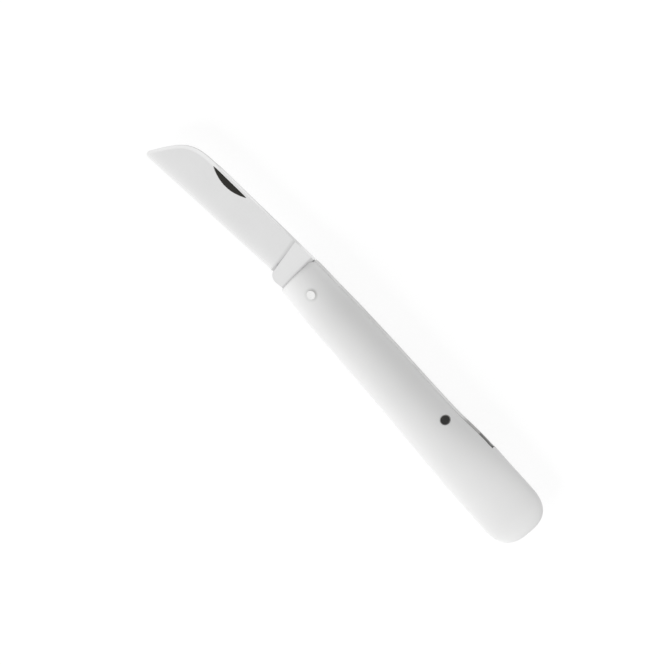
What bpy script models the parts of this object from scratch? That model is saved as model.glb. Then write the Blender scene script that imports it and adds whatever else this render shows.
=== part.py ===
# Budding knife: a slip-joint folding knife with a one-piece moulded handle whose flat butt lifts bark.
# It is modelled open and lying on its side. +X runs towards the butt, +Y towards the back, +Z up
# through the thickness. Places are measured from the pivot's axis at mid thickness, and one empty
# moves the whole knife so that the world origin lies on the ground under the middle of its box.

import math

import bmesh
import bpy
import numpy as np
from mathutils import Matrix

mm = 0.001

# Fits shared by all pieces
running_gap = 0.05 * mm
seat_gap = 0.3 * mm
slot_side_gap = 0.15 * mm
overrun = 4.0 * mm
merge_distance = 0.0005 * mm
round_steps = 32
sharp_angle = math.radians(30)

# Handle. Its length runs from the front reach over the two slots to the solid lifter.
handle_front_reach = 7.65 * mm
front_lean = math.radians(4.0)
front_lean_length = 12.0 * mm
front_corner_depth = 2.0 * mm
front_corner_width = 3.0 * mm
belly_corner_share = 0.25
front_corner_shares = (0.0, 0.07, 0.2, 0.45, 1.0)
lifter_length = 26.55 * mm
handle_thickness = 10.4 * mm
butt_height = 20.8 * mm
butt_round_length = 9.6 * mm
butt_round_power = 2.8
lifter_edge_round = 3.2 * mm
front_edge_chamfer = 0.4 * mm
section_power = 2.05
section_steps = 48
handle_steps = 30
butt_round_steps = 10

# Handle outline. Each row holds a place along the length, the height of the back and of the belly
# over and under the pivot as shares of butt_height, and the depth as a share of handle_thickness.
# A depth over 1 is cut flat at the full thickness, which makes the planar strip that it lies on.
handle_shares = (
    (0.00, 0.354, 0.371, 0.858),
    (0.045, 0.369, 0.380, 0.884),
    (0.075, 0.374, 0.386, 0.905),
    (0.204, 0.403, 0.395, 1.090),
    (0.363, 0.426, 0.404, 1.090),
    (0.503, 0.438, 0.420, 1.090),
    (0.602, 0.454, 0.440, 0.952),
    (0.672, 0.492, 0.453, 0.846),
    (0.731, 0.514, 0.467, 0.750),
    (0.791, 0.516, 0.469, 0.615),
    (0.910, 0.524, 0.468, 0.395),
    (1.00, 0.517, 0.441, 0.300),
)

# Pivot rivet
pivot_diameter = 2.2 * mm
pivot_head_diameter = 2.8 * mm
pivot_head_height = 0.3 * mm
dome_steps = 5

# Blade, with its tang and kick. Angles are from +X, turning towards +Y.
blade_thickness = 2.2 * mm
blade_reach = 65.9 * mm
spine_rise = 7.6 * mm
spine_slope = math.radians(4.7)
edge_drop = 4.22 * mm
edge_slope = math.radians(6.63)
point_drop_length = 19.4 * mm
point_slope = math.radians(63.8)
point_curve_shares = (0.545, 0.67)
tip_radius = 1.2 * mm
point_steps = 14
arc_steps = 8
ricasso_length = 13.5 * mm
choil_step = 0.5 * mm
choil_rise = 0.45 * mm
kick_reach = 9.7 * mm
tang_flat_height = 4.9 * mm
tang_round_radius = 5.15 * mm
tang_steps = 18
closed_angle = math.radians(168.0)

# Blade grinds. The edge keeps a small width, so that its mesh is a closed solid everywhere.
grind_shoulder = 1.0 * mm
grind_heel_thickness = 0.44 * mm
grind_lean = math.radians(10.0)
edge_width = 0.12 * mm
edge_bevel_angle = math.radians(11.3)

# Nail nick, cut by a cone whose large end is the steep wall on the spine's side
nick_length = 13.8 * mm
nick_width = 2.3 * mm
nick_depth = 0.7 * mm
nick_place = 41.5 * mm
nick_below_spine = 0.85 * mm
nick_steps = 160

# Back spring
spring_front_reach = 7.05 * mm
spring_sunk_depth = 0.25 * mm
spring_straight_reach = 14.0 * mm
spring_tail_reach = 64.5 * mm
spring_seat_length = 20.5 * mm
spring_seat_height = 3.3 * mm
spring_fall_length = 6.5 * mm
spring_tail_height = 9.7 * mm
spring_corner = 0.4 * mm
spring_steps = 14

# Spring pin
spring_pin_diameter = 3.0 * mm
spring_pin_from_tail = 10.1 * mm
spring_pin_height = 5.5 * mm
pin_flush_depth = 0.05 * mm

# Slot in the handle, with the web that the spring's tail bears on
web_length = 18.5 * mm
web_thickness = 2.1 * mm
web_steps = 6
blade_slot_end_gap = 2.0 * mm
spring_pocket_end_gap = 5.6 * mm

# Sizes that follow from the ones above
blade_half = blade_thickness / 2
slot_half = blade_half + slot_side_gap
handle_half = handle_thickness / 2
handle_end = spring_tail_reach + spring_pocket_end_gap + lifter_length
handle_length = handle_front_reach + handle_end
spring_pin_reach = spring_tail_reach - spring_pin_from_tail
spring_thick_reach = spring_tail_reach - spring_seat_length
spring_fall_start = spring_tail_reach - spring_fall_length
web_reach = spring_tail_reach - web_length
spring_inner_height = tang_flat_height + seat_gap
shoulder_place = -spring_front_reach - seat_gap
closed_normal = math.pi / 2 - closed_angle
web_floor = spring_seat_height - seat_gap
cutter_reach = butt_height
web_ceiling = web_floor - web_thickness


def smooth_line(places, values, at):
    # Cubic curve through the stations, with slopes that never make it overshoot them.
    secants = np.diff(values) / np.diff(places)
    product = secants[:-1] * secants[1:]
    total = secants[:-1] + secants[1:]
    inner = np.where(product > 0, 2 * product / np.where(total == 0, 1, total), 0)
    slopes = np.concatenate([secants[:1], inner, secants[-1:]])
    index = int(np.clip(np.searchsorted(places, at, side="right") - 1, 0, len(places) - 2))
    step = places[index + 1] - places[index]
    t = (at - places[index]) / step
    start = (1 + 2 * t) * (1 - t) ** 2 * values[index] + t * (1 - t) ** 2 * step * slopes[index]
    end = t * t * (3 - 2 * t) * values[index + 1] + t * t * (t - 1) * step * slopes[index + 1]
    return start + end


def handle_share(place, column):
    table = np.array(handle_shares)
    return smooth_line(table[:, 0], table[:, column], (place + handle_front_reach) / handle_length)


def back_line(place):
    return butt_height * handle_share(place, 1)


def belly_line(place):
    return -butt_height * handle_share(place, 2)


def end_round(place, length, power):
    # Falls from 1 to 0 over the last stretch of the handle, as a superellipse does.
    u = max(0.0, (place - handle_end + length) / length)
    return max(0.0, 1 - min(u, 1.0) ** power) ** (1 / power)


def handle_places():
    # Rings stand evenly along the handle and crowd together at the front end's corners and where
    # the butt rounds off.
    corner = front_corner_depth * np.array(front_corner_shares) - handle_front_reach
    round_start = handle_end - butt_round_length
    body = np.linspace(corner[-1], round_start, handle_steps)[1:]
    turns = np.linspace(0, math.pi / 2, butt_round_steps + 1)[1:-1]
    return np.concatenate([corner, body, round_start + butt_round_length * np.sin(turns)])


def corner_draw(place):
    # How far the back draws in at the front end's rounded corner. The belly draws in by a share of it.
    share = min(max((place + handle_front_reach) / front_corner_depth, 0.0), 1.0)
    return front_corner_width * (1 - math.sqrt(1 - (1 - share) ** 2))


def front_chamfer(place):
    return max(0.0, front_edge_chamfer - handle_front_reach - place)


def front_shift(place, y):
    # The front end leans: towards the back it reaches further forward than at the belly.
    fade = max(0.0, 1 - (place + handle_front_reach) / front_lean_length)
    return -math.tan(front_lean) * fade * y


def handle_ring(place, inset):
    # Superellipse section, cut flat where it would pass the handle's full thickness.
    top = back_line(place) - corner_draw(place)
    bottom = belly_line(place) + belly_corner_share * corner_draw(place)
    middle = (top + bottom) / 2
    height = (top - bottom) / 2 * end_round(place, butt_round_length, butt_round_power) - inset
    depth = handle_half * handle_share(place, 3) * end_round(place, lifter_edge_round, 2) - inset
    turns = np.arange(section_steps) * 2 * math.pi / section_steps
    bend = 2 / section_power
    across = height * np.sign(np.cos(turns)) * np.abs(np.cos(turns)) ** bend
    up = depth * np.sign(np.sin(turns)) * np.abs(np.sin(turns)) ** bend
    up = np.clip(up, inset - handle_half, handle_half - inset)
    return [(place + front_shift(place, middle + y), middle + y, z) for y, z in zip(across, up)]


def clear_scene():
    for item in list(bpy.data.objects):
        bpy.data.objects.remove(item, do_unlink=True)


def make_material(name, colour, roughness, metallic):
    material = bpy.data.materials.new(name)
    material.use_nodes = True
    shader = material.node_tree.nodes["Principled BSDF"]
    shader.inputs["Base Color"].default_value = (*colour, 1.0)
    shader.inputs["Roughness"].default_value = roughness
    shader.inputs["Metallic"].default_value = metallic
    material.diffuse_color = (*colour, 1.0)
    return material


def add_object(name, bm, material=None, origin=(0, 0, 0)):
    bmesh.ops.recalc_face_normals(bm, faces=bm.faces)
    mesh = bpy.data.meshes.new(name)
    bmesh.ops.translate(bm, verts=bm.verts, vec=[-value for value in origin])
    bm.to_mesh(mesh)
    bm.free()
    item = bpy.data.objects.new(name, mesh)
    item.location = origin
    bpy.context.scene.collection.objects.link(item)
    if material:
        mesh.materials.append(material)
    return item


def make_cutter(item):
    item.hide_render = True
    item.display_type = "WIRE"
    return item


def combine(item, other, operation):
    modifier = item.modifiers.new(other.name, "BOOLEAN")
    modifier.operation = operation
    modifier.solver = "EXACT"
    modifier.object = other


def shade(item):
    item.data.shade_smooth()
    item.data.set_sharp_from_angle(angle=sharp_angle)


def prism_mesh(outline, low, high):
    # Upright prism over an outline, between two heights that may follow the place.
    bm = bmesh.new()
    lower = [bm.verts.new((x, y, low(x, y))) for x, y in outline]
    upper = [bm.verts.new((x, y, high(x, y))) for x, y in outline]
    bm.faces.new(lower)
    bm.faces.new(upper)
    for index in range(len(outline)):
        following = (index + 1) % len(outline)
        bm.faces.new((lower[index], lower[following], upper[following], upper[index]))
    return bm


def plate_mesh(outline, half):
    return prism_mesh(outline, lambda x, y: -half, lambda x, y: half)


def rod_mesh(radius, half, centre):
    bm = bmesh.new()
    bmesh.ops.create_cone(
        bm, cap_ends=True, segments=round_steps, radius1=radius, radius2=radius, depth=2 * half
    )
    bmesh.ops.translate(bm, verts=bm.verts, vec=centre)
    return bm


def arc(centre, radius, start, end, steps):
    turns = np.linspace(start, end, steps + 1)
    return [(centre[0] + radius * math.cos(t), centre[1] + radius * math.sin(t)) for t in turns]


def handle_form(name, inset, material=None):
    # Skin over the rings, with a chamfered front end and one point in the middle of the butt's end.
    # It is split into flat triangles, so that the cuts meet no warped face.
    bm = bmesh.new()
    rings = [handle_ring(place, inset + front_chamfer(place)) for place in handle_places()]
    rows = [[bm.verts.new(point) for point in ring] for ring in rings]
    for row, following in zip(rows, rows[1:]):
        for index in range(section_steps):
            beside = (index + 1) % section_steps
            bm.faces.new((row[index], row[beside], following[beside], following[index]))
    bm.faces.new(rows[0])
    end_middle = (back_line(handle_end) + belly_line(handle_end)) / 2
    pole = bm.verts.new((handle_end - inset, end_middle, 0))
    for index in range(section_steps):
        bm.faces.new((rows[-1][index], rows[-1][(index + 1) % section_steps], pole))
    bmesh.ops.triangulate(bm, faces=bm.faces)
    return add_object(name, bm, material)


def slot_outline():
    # Open at the front end, belly and back. Behind the web's nose it is two slots with the web between.
    blade_end = blade_reach + blade_slot_end_gap
    pocket_end = spring_tail_reach + spring_pocket_end_gap
    front = -handle_front_reach - overrun
    nose_radius = web_thickness / 2
    nose_centre = (web_reach + nose_radius, web_ceiling + nose_radius)
    nose = arc(nose_centre, nose_radius, 3 * math.pi / 2, math.pi / 2, web_steps)
    blade_slot = [(front, -cutter_reach), (blade_end, -cutter_reach), (blade_end, web_ceiling)]
    spring_pocket = [(pocket_end, web_floor), (pocket_end, cutter_reach), (front, cutter_reach)]
    return blade_slot + nose + spring_pocket


def build_handle(material):
    handle = handle_form("handle", 0.0, material)
    slot = make_cutter(add_object("slot_cutter", plate_mesh(slot_outline(), slot_half)))
    combine(handle, slot, "DIFFERENCE")
    reach = handle_half + overrun
    pivot_hole = rod_mesh(pivot_diameter / 2 + running_gap, reach, (0, 0, 0))
    combine(handle, make_cutter(add_object("pivot_hole_cutter", pivot_hole)), "DIFFERENCE")
    pin_place = (spring_pin_reach, spring_pin_height, 0)
    pin_hole = rod_mesh(spring_pin_diameter / 2 + running_gap, reach, pin_place)
    combine(handle, make_cutter(add_object("pin_hole_cutter", pin_hole)), "DIFFERENCE")
    shade(handle)
    return handle


def spine_height(place):
    return spine_rise + math.tan(spine_slope) * place


def edge_height(place):
    return -edge_drop + math.tan(edge_slope) * place


def point_outline():
    # The spine drops in one curve, and a small arc rounds the point into the edge.
    turn = math.pi - point_slope + edge_slope
    fillet = tip_radius * math.tan(turn / 2)
    sharp = (-blade_reach, edge_height(-blade_reach))
    fall = (math.cos(point_slope), math.sin(point_slope))
    end = (sharp[0] + fillet * fall[0], sharp[1] + fillet * fall[1])
    start_place = point_drop_length - blade_reach
    start = (start_place, spine_height(start_place))
    first = point_curve_shares[0] * point_drop_length
    second = point_curve_shares[1] * point_drop_length
    knots = np.array([
        start,
        (start[0] - first * math.cos(spine_slope), start[1] - first * math.sin(spine_slope)),
        (end[0] + second * fall[0], end[1] + second * fall[1]),
        end,
    ])
    curve = []
    for t in np.linspace(0, 1, point_steps + 1):
        weights = np.array([(1 - t) ** 3, 3 * t * (1 - t) ** 2, 3 * t * t * (1 - t), t ** 3])
        curve.append(tuple(weights @ knots))
    centre = (end[0] + tip_radius * fall[1], end[1] - tip_radius * fall[0])
    start_angle = math.pi / 2 + point_slope
    return curve + arc(centre, tip_radius, start_angle, start_angle + turn, arc_steps)[1:]


def tang_outline():
    # The kick and the closed flat share one line, which lies under the spring when the knife is shut.
    # The kick's front is the arc that leaves that line at the kick and ends at the edge's heel.
    normal = (math.cos(closed_normal), math.sin(closed_normal))
    kick_low = (-kick_reach, (normal[0] * kick_reach + tang_flat_height) / normal[1])
    front = (choil_step - ricasso_length, edge_height(-ricasso_length) + choil_rise)
    gap = (front[0] - kick_low[0], front[1] - kick_low[1])
    inward = -gap[0] * normal[0] - gap[1] * normal[1]
    kick_radius = (gap[0] ** 2 + gap[1] ** 2) / (2 * inward)
    centre = (kick_low[0] - kick_radius * normal[0], kick_low[1] - kick_radius * normal[1])
    front_angle = math.atan2(front[1] - centre[1], front[0] - centre[0])
    kick = arc(centre, kick_radius, front_angle, closed_normal, arc_steps)
    lean = math.acos(tang_flat_height / tang_round_radius)
    round_end = arc((0, 0), tang_round_radius, closed_normal + lean, math.pi / 2 - lean, tang_steps)
    shoulder = [(shoulder_place, tang_flat_height), (shoulder_place, spine_height(shoulder_place))]
    return kick + round_end + shoulder


def blade_outline():
    heel = (-ricasso_length, edge_height(-ricasso_length))
    return point_outline() + [heel] + tang_outline()


def grind_height(x, y):
    # Half thickness that the flat grind leaves, falling evenly from the shoulder below the spine.
    width = (spine_height(-ricasso_length) - edge_height(-ricasso_length)) * math.cos(spine_slope)
    fall = (blade_half - grind_heel_thickness / 2) / (width - grind_shoulder)
    below = (spine_height(x) - y) * math.cos(spine_slope) - grind_shoulder
    return blade_half - fall * below


def bevel_height(x, y):
    # Half thickness that the sharpening bevel leaves, from the edge upwards.
    above = (y - edge_height(x)) * math.cos(edge_slope)
    return edge_width / 2 + math.tan(edge_bevel_angle) * above


def grind_outline():
    # The grind stops at the plunge line, which leans towards the point as it rises.
    heel = edge_height(-ricasso_length)
    top = -ricasso_length - math.tan(grind_lean) * (cutter_reach - heel)
    far = -blade_reach - overrun
    foot = [(far, -cutter_reach), (-ricasso_length, -cutter_reach), (-ricasso_length, heel)]
    return foot + [(top, cutter_reach), (far, cutter_reach)]


def cut_sides(blade, name, height):
    # The same cut on both sides of the blade, above it and, mirrored, below it.
    for label, side in (("upper", 1), ("lower", -1)):
        bm = prism_mesh(
            grind_outline(), lambda x, y: side * height(x, y), lambda x, y: side * cutter_reach
        )
        cutter = make_cutter(add_object(f"{label}_{name}_cutter", bm))
        combine(blade, cutter, "DIFFERENCE")


def nick_mesh():
    # A shallow cone lying across the blade. Its rim is the steep wall just below the spine.
    rim = (nick_length ** 2 / 4 + nick_depth ** 2) / (2 * nick_depth)
    reach = 2 * nick_width
    inner = rim - nick_depth * reach / nick_width
    bm = bmesh.new()
    bmesh.ops.create_cone(
        bm, cap_ends=True, segments=nick_steps, radius1=inner, radius2=rim, depth=reach
    )
    across = Matrix.Rotation(-math.pi / 2, 3, "X")
    bmesh.ops.rotate(bm, verts=bm.verts, cent=(0, 0, 0), matrix=across)
    bmesh.ops.translate(bm, verts=bm.verts, vec=(0, -reach / 2, 0))
    along_spine = Matrix.Rotation(spine_slope, 3, "Z")
    bmesh.ops.rotate(bm, verts=bm.verts, cent=(0, 0, 0), matrix=along_spine)
    wall = spine_height(-nick_place) - nick_below_spine
    bmesh.ops.translate(bm, verts=bm.verts, vec=(-nick_place, wall, blade_half - nick_depth + rim))
    return bm


def build_blade(material):
    blade = add_object("blade", plate_mesh(blade_outline(), blade_half), material)
    cut_sides(blade, "grind", grind_height)
    cut_sides(blade, "bevel", bevel_height)
    combine(blade, make_cutter(add_object("nick_cutter", nick_mesh())), "DIFFERENCE")
    hole = rod_mesh(pivot_diameter / 2 + running_gap, blade_half + overrun, (0, 0, 0))
    combine(blade, make_cutter(add_object("tang_hole_cutter", hole)), "DIFFERENCE")
    shade(blade)
    return blade


def spring_outline():
    # The inner face eases down from over the tang to the seat. The outer face follows the handle's
    # back and leaves it towards the tail, where the spring lies deeper in its pocket.
    inner = [(-spring_front_reach, spring_inner_height)]
    for t in np.linspace(0, 1, spring_steps + 1):
        place = spring_straight_reach + t * (spring_thick_reach - spring_straight_reach)
        ease = (1 - math.cos(math.pi * t)) / 2
        inner.append((place, spring_inner_height + ease * (spring_seat_height - spring_inner_height)))
    tail = [
        (spring_tail_reach - spring_corner, spring_seat_height),
        (spring_tail_reach, spring_seat_height + spring_corner),
        (spring_tail_reach, spring_tail_height - spring_corner),
        (spring_tail_reach - spring_corner, spring_tail_height),
    ]
    places = np.linspace(spring_fall_start, -spring_front_reach, spring_steps)
    return inner + tail + [(place, back_line(place) - spring_sunk_depth) for place in places]


def build_spring(material):
    outline = spring_outline()
    pin_place = (spring_pin_reach, spring_pin_height, 0)
    spring = add_object("back_spring", plate_mesh(outline, blade_half), material, pin_place)
    hole = rod_mesh(spring_pin_diameter / 2 + running_gap, blade_half + overrun, pin_place)
    combine(spring, make_cutter(add_object("spring_hole_cutter", hole)), "DIFFERENCE")
    shade(spring)
    return spring


def build_pivot_rivet(material):
    # A shank with a low dome headed over on each side, turned about the pivot's axis.
    head = pivot_head_diameter / 2
    under = handle_half * handle_share(head, 3) + running_gap
    dome_radius = (head ** 2 + pivot_head_height ** 2) / (2 * pivot_head_height)
    dome_angle = math.asin(head / dome_radius)
    centre = under + pivot_head_height - dome_radius
    turns = np.linspace(dome_angle, 0, dome_steps + 1)
    dome = [(dome_radius * math.sin(t), centre + dome_radius * math.cos(t)) for t in turns]
    upper = [(pivot_diameter / 2, under)] + dome
    profile = [(x, -z) for x, z in reversed(upper)] + upper
    bm = bmesh.new()
    points = [bm.verts.new((x, 0, z)) for x, z in profile]
    edges = [bm.edges.new(pair) for pair in zip(points, points[1:])]
    bmesh.ops.spin(
        bm, geom=points + edges, cent=(0, 0, 0), axis=(0, 0, 1),
        angle=2 * math.pi, steps=round_steps, use_merge=True,
    )
    bmesh.ops.remove_doubles(bm, verts=bm.verts, dist=merge_distance)
    rivet = add_object("pivot_rivet", bm, material)
    shade(rivet)
    return rivet


def build_spring_pin(material):
    # A plain pin whose ends are ground to the handle's surface.
    pin_place = (spring_pin_reach, spring_pin_height, 0)
    rod = rod_mesh(spring_pin_diameter / 2, handle_half + overrun, pin_place)
    pin = add_object("spring_pin", rod, material)
    combine(pin, make_cutter(handle_form("pin_end_form", pin_flush_depth)), "INTERSECT")
    shade(pin)
    return pin


def place_knife():
    # The empty carries every piece and puts the middle of the knife's box over the world's origin.
    places = handle_places()
    outline = blade_outline()
    low_x = min(x for x, _ in outline)
    low_y = min(min(y for _, y in outline), min(belly_line(place) for place in places))
    high_y = max(y for place in places for _, y, _ in handle_ring(place, 0.0))
    frame = bpy.data.objects.new("knife_frame", None)
    frame.location = (-(low_x + handle_end) / 2, -(low_y + high_y) / 2, handle_half)
    bpy.context.scene.collection.objects.link(frame)
    for item in bpy.data.objects:
        if item is not frame:
            item.parent = frame


def build_knife():
    nylon = make_material("white_nylon", (0.82, 0.82, 0.80), 0.42, 0.0)
    blade_steel = make_material("satin_blade_steel", (0.66, 0.66, 0.65), 0.28, 1.0)
    spring_steel = make_material("spring_steel", (0.42, 0.42, 0.42), 0.38, 1.0)
    rivet_steel = make_material("bright_rivet_steel", (0.78, 0.78, 0.77), 0.2, 1.0)
    pin_steel = make_material("dark_pin_steel", (0.09, 0.09, 0.085), 0.45, 1.0)
    build_handle(nylon)
    build_blade(blade_steel)
    build_spring(spring_steel)
    build_pivot_rivet(rivet_steel)
    build_spring_pin(pin_steel)
    place_knife()


clear_scene()
build_knife()
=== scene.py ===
import math

import bmesh
import bpy
import numpy as np
from mathutils import Matrix, Vector


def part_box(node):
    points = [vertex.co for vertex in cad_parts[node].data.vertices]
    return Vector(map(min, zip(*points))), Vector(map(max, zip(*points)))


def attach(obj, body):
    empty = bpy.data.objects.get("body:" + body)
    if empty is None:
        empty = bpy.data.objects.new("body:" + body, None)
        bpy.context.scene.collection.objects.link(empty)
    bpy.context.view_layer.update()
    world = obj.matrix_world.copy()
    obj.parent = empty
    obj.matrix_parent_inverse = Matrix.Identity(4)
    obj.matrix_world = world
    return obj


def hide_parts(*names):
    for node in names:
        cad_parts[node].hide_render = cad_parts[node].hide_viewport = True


# Budding knife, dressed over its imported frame: open, lying on its side on a pale studio floor.
# Shapes are in millimetres from the pivot's axis at mid thickness, x towards the butt, y towards
# the back and z up, and move to their place as they are made. Each piece has its values, its shape
# and its material together.

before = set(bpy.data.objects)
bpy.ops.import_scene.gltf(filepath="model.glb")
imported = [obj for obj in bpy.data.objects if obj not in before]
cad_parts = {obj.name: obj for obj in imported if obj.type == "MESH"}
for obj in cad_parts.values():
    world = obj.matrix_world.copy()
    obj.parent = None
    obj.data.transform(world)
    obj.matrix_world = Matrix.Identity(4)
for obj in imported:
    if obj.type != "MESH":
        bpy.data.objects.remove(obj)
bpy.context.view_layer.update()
mm = 0.001
tiny = 1e-9  # keeps a division away from zero
hair = 1e-6  # slack where a row is compared with a place


class Values(dict):
    # A dictionary whose values are also read as values.name.
    __getattr__ = dict.__getitem__


def middleOf(node):
    low, high = (np.array(corner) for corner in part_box(node))
    return (low + high) / 2 / mm


pivotPlace = middleOf("pivot_rivet")
pinPlace = middleOf("spring_pin") - pivotPlace
rivetTop = float(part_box("pivot_rivet")[1][2]) / mm - pivotPlace[2]
print("frame loaded, pivot at", np.round(pivotPlace, 3))

meshLook = Values(
    weldReach=0.0004, thinReach=0.0002, crease=30.0,
    turnSteps=96, holeSteps=72, holeReach=10.4, rimColumns=3,
)


def gridFrom(x, y, z):
    # Grid of points from three arrays, filled out to one shape.
    return np.stack(np.broadcast_arrays(x, y, z), -1)


def gridFaces(rows, columns):
    # Corner numbers of the squares between neighbouring points of a grid.
    first = (np.arange(rows - 1)[:, None] * columns + np.arange(columns - 1)).ravel()
    return np.stack([first, first + 1, first + columns + 1, first + columns], 1)


def mirrored(grid):
    # The same points on the other side of mid thickness.
    return grid * np.array([1, 1, -1])


def turnedGrid(radius, height, steps):
    # A profile carried once round the upright axis: radius times cosine and sine, at its height.
    turns = np.linspace(0, 2 * np.pi, steps + 1)
    return gridFrom(radius[:, None] * np.cos(turns), radius[:, None] * np.sin(turns), height[:, None])


def stripBetween(first, second, columns=meshLook.rimColumns):
    # Straight strip of points from one line of points to another.
    share = evenShares(columns)[:, None]
    return first[:, None] * (1 - share) + second[:, None] * share


def evenShares(steps):
    return np.linspace(0, 1, steps + 1)


def quarterTurns(steps):
    return np.pi / 2 * evenShares(steps)


def quarterFall(share):
    # How far a quarter circle has fallen: 1 less the root of 1 less the share squared.
    return 1 - np.sqrt(1 - share ** 2)


def ramp(value, low, high):
    # 0 below low, 1 above high, with a smooth rise between.
    t = np.clip((value - low) / (high - low), 0, 1)
    return t * t * (3 - 2 * t)


def towards(value, goal, share):
    # The value moved by a share of its way to the goal.
    return value + (goal - value) * share


def smoothLine(stations, values, at):
    # Cubic through the stations. Each inner slope is twice the product of its two neighbours'
    # slopes over their sum, or 0 where they turn, so the line never overshoots a station.
    secants = np.diff(values) / np.diff(stations)
    product, total = secants[:-1] * secants[1:], secants[:-1] + secants[1:]
    inner = np.where(product > 0, 2 * product / np.where(total == 0, 1, total), 0)
    slopes = np.r_[secants[:1], inner, secants[-1:]]
    index = np.clip(np.searchsorted(stations, at, side="right") - 1, 0, len(stations) - 2)
    step = stations[index + 1] - stations[index]
    t = (at - stations[index]) / step
    start = (1 + 2 * t) * (1 - t) ** 2 * values[index] + t * (1 - t) ** 2 * step * slopes[index]
    end = t * t * (3 - 2 * t) * values[index + 1] + t * t * (t - 1) * step * slopes[index + 1]
    return start + end


def addObject(name, data):
    thing = bpy.data.objects.new(name, data)
    bpy.context.scene.collection.objects.link(thing)
    return thing


def smoothShade(piece, crease):
    piece.data.shade_smooth()
    piece.data.set_sharp_from_angle(angle=math.radians(crease))


def weldGrids(name, grids, crease=meshLook.crease):
    # Joins grids of points into one closed mesh: shared borders merge, flat open ends are filled.
    counts = np.cumsum([0] + [grid.shape[0] * grid.shape[1] for grid in grids])
    points = np.concatenate([grid.reshape(-1, 3) for grid in grids])
    faces = np.concatenate([gridFaces(*grid.shape[:2]) + start for grid, start in zip(grids, counts)])
    mesh = bpy.data.meshes.new(name)
    mesh.from_pydata((points + pivotPlace) * mm, [], faces)
    shell = bmesh.new()
    shell.from_mesh(mesh)
    bmesh.ops.remove_doubles(shell, verts=shell.verts, dist=meshLook.weldReach * mm)
    bmesh.ops.dissolve_degenerate(shell, edges=shell.edges, dist=meshLook.thinReach * mm)
    openEdges = [edge for edge in shell.edges if edge.is_boundary]
    if openEdges:
        bmesh.ops.holes_fill(shell, edges=openEdges, sides=0)
    bmesh.ops.recalc_face_normals(shell, faces=shell.faces)
    shell.to_mesh(mesh)
    leftOpen = sum(1 for edge in shell.edges if not edge.is_manifold)
    shell.free()
    piece = addObject(name, mesh)
    smoothShade(piece, crease)
    print(f"{name}: {len(mesh.polygons)} faces, {leftOpen} open edges")
    return piece


def boreHoles(piece, holes, crease=meshLook.crease):
    # Cuts upright round holes, each given by its x, y and radius, straight through a piece.
    cutters, reach = [], meshLook.holeReach
    for x, y, radius in holes:
        radii, heights = np.r_[0, radius, radius, 0], np.r_[-reach, -reach, reach, reach]
        rod = turnedGrid(radii, heights, meshLook.holeSteps) + np.array([x, y, 0])
        cutter = weldGrids(piece.name + "_hole", [rod])
        modifier = piece.modifiers.new("hole", "BOOLEAN")
        modifier.operation, modifier.solver, modifier.object = "DIFFERENCE", "EXACT", cutter
        cutters.append(cutter)
    bpy.context.view_layer.update()
    ready = piece.evaluated_get(bpy.context.evaluated_depsgraph_get())
    cut = bpy.data.meshes.new_from_object(ready)
    piece.modifiers.clear()
    piece.data = cut
    for cutter in cutters:
        bpy.data.objects.remove(cutter, do_unlink=True)
    smoothShade(piece, crease)


def markPoints(piece, name, measure):
    # Stores one number for each point of the mesh, worked out from its x, y and z.
    mesh = piece.data
    places = np.empty(len(mesh.vertices) * 3)
    mesh.vertices.foreach_get("co", places)
    local = places.reshape(-1, 3) / mm - pivotPlace
    values = measure(*local.T).astype(np.float32)
    mesh.attributes.new(name, "FLOAT", "POINT").data.foreach_set("value", values)


def dress(piece, material, body, node):
    piece.data.materials.clear()
    piece.data.materials.append(material)
    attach(piece, body)
    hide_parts(node)


def addNode(tree, kind, links={}, **values):
    # Adds a node, sets its properties or sockets by name, and links the given sockets into it.
    node = tree.nodes.new("ShaderNode" + kind)
    for label, value in values.items():
        if hasattr(node, label):
            setattr(node, label, value)
        else:
            node.inputs[label].default_value = value
    for label, source in links.items():
        tree.links.new(source, node.inputs[label])
    return node


def feed(tree, socket, value):
    # Links a socket's value in, or sets a plain number or colour.
    if isinstance(value, bpy.types.NodeSocket):
        tree.links.new(value, socket)
    else:
        socket.default_value = (*value, 1) if socket.type == "RGBA" else value


def mathNode(tree, operation, *values):
    node = addNode(tree, "Math", operation=operation)
    for socket, value in zip(node.inputs, values):
        feed(tree, socket, value)
    return node.outputs[0]


def mixColour(tree, factor, first, second):
    node = addNode(tree, "Mix", data_type="RGBA")
    for number, value in ((0, factor), (6, first), (7, second)):
        feed(tree, node.inputs[number], value)
    return node.outputs[2]


def mapRange(tree, value, *limits):
    # Limits are low and high, and where they aren't 0 and 1, the results at them.
    node = addNode(tree, "MapRange", {0: value})
    for number, limit in enumerate(limits, 1):
        node.inputs[number].default_value = limit
    return node.outputs[0]


def weighted(tree, masks, start, weights):
    # The start plus each named mask times its weight.
    for name, weight in weights.items():
        start = mathNode(tree, "MULTIPLY_ADD", masks[name], weight, start)
    return start


def addNoise(tree, place, scale, **values):
    node = addNode(tree, "TexNoise", {"Vector": place}, **values)
    feed(tree, node.inputs["Scale"], scale)
    return node.outputs[0]


def readMark(tree, name):
    return addNode(tree, "Attribute", attribute_name=name).outputs["Fac"]


def fromAxis(tree, place, axis):
    # Sideways offset, and distance, in millimetres from an upright line through a point.
    centred = addNode(tree, "Mapping", {"Vector": place},
                      Location=(-axis[0], -axis[1], 0), Scale=(1 / mm, 1 / mm, 0)).outputs[0]
    away = addNode(tree, "VectorMath", {0: centred}, operation="LENGTH")
    return centred, away.outputs["Value"]


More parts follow.
